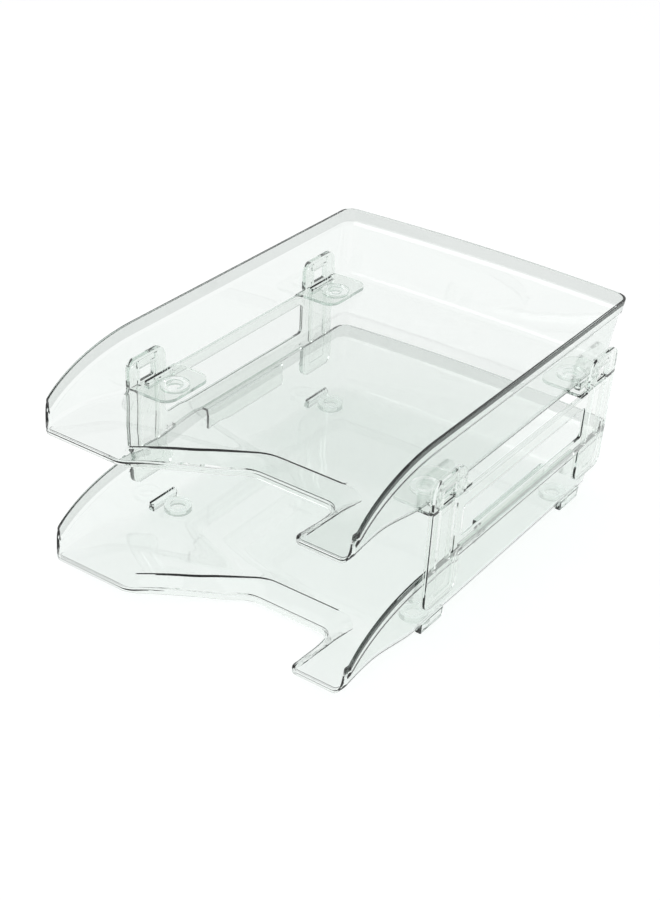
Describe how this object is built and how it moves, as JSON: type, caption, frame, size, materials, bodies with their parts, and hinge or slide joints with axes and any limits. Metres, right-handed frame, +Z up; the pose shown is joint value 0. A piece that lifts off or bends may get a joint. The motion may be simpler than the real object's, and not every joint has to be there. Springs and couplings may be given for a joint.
{
  "type": "letter tray",
  "caption": "Clear stacking letter tray set: open-front trays carried one above the other on clip-on side risers with shelves, ears and rounded legs.",
  "frame": {"origin": "on the desk plane under the centre of the set's bounding box", "axes": "+X to the right side wall seen from the open front, +Y to the back wall, +Z up"},
  "size_m": [0.2606, 0.3626, 0.158],
  "materials": {
    "tray_clear": "clear polished",
    "riser_clear": "clear polished"
  },
  "bodies": {
    "lower_tray": {"lower_tray": "tray_clear"},
    "left_riser": {"left_riser": "riser_clear"},
    "upper_tray": {"upper_tray": "tray_clear"},
    "right_riser": {"right_riser": "riser_clear"}
  },
  "joints": [
    {"name": "left_riser_lift", "type": "slide", "parent": "lower_tray", "child": "left_riser", "axis": [0, 0, 1], "range_m": [0, 0.05]},
    {"name": "upper_tray_lift", "type": "slide", "parent": "left_riser", "child": "upper_tray", "axis": [0, 0, 1], "range_m": [0, 0.05]},
    {"name": "right_riser_lift", "type": "slide", "parent": "lower_tray", "child": "right_riser", "axis": [0, 0, 1], "range_m": [0, 0.05]}
  ],
  "couplings": [
    {"joint": "right_riser_lift", "follows": "left_riser_lift", "ratio": 1}
  ]
}
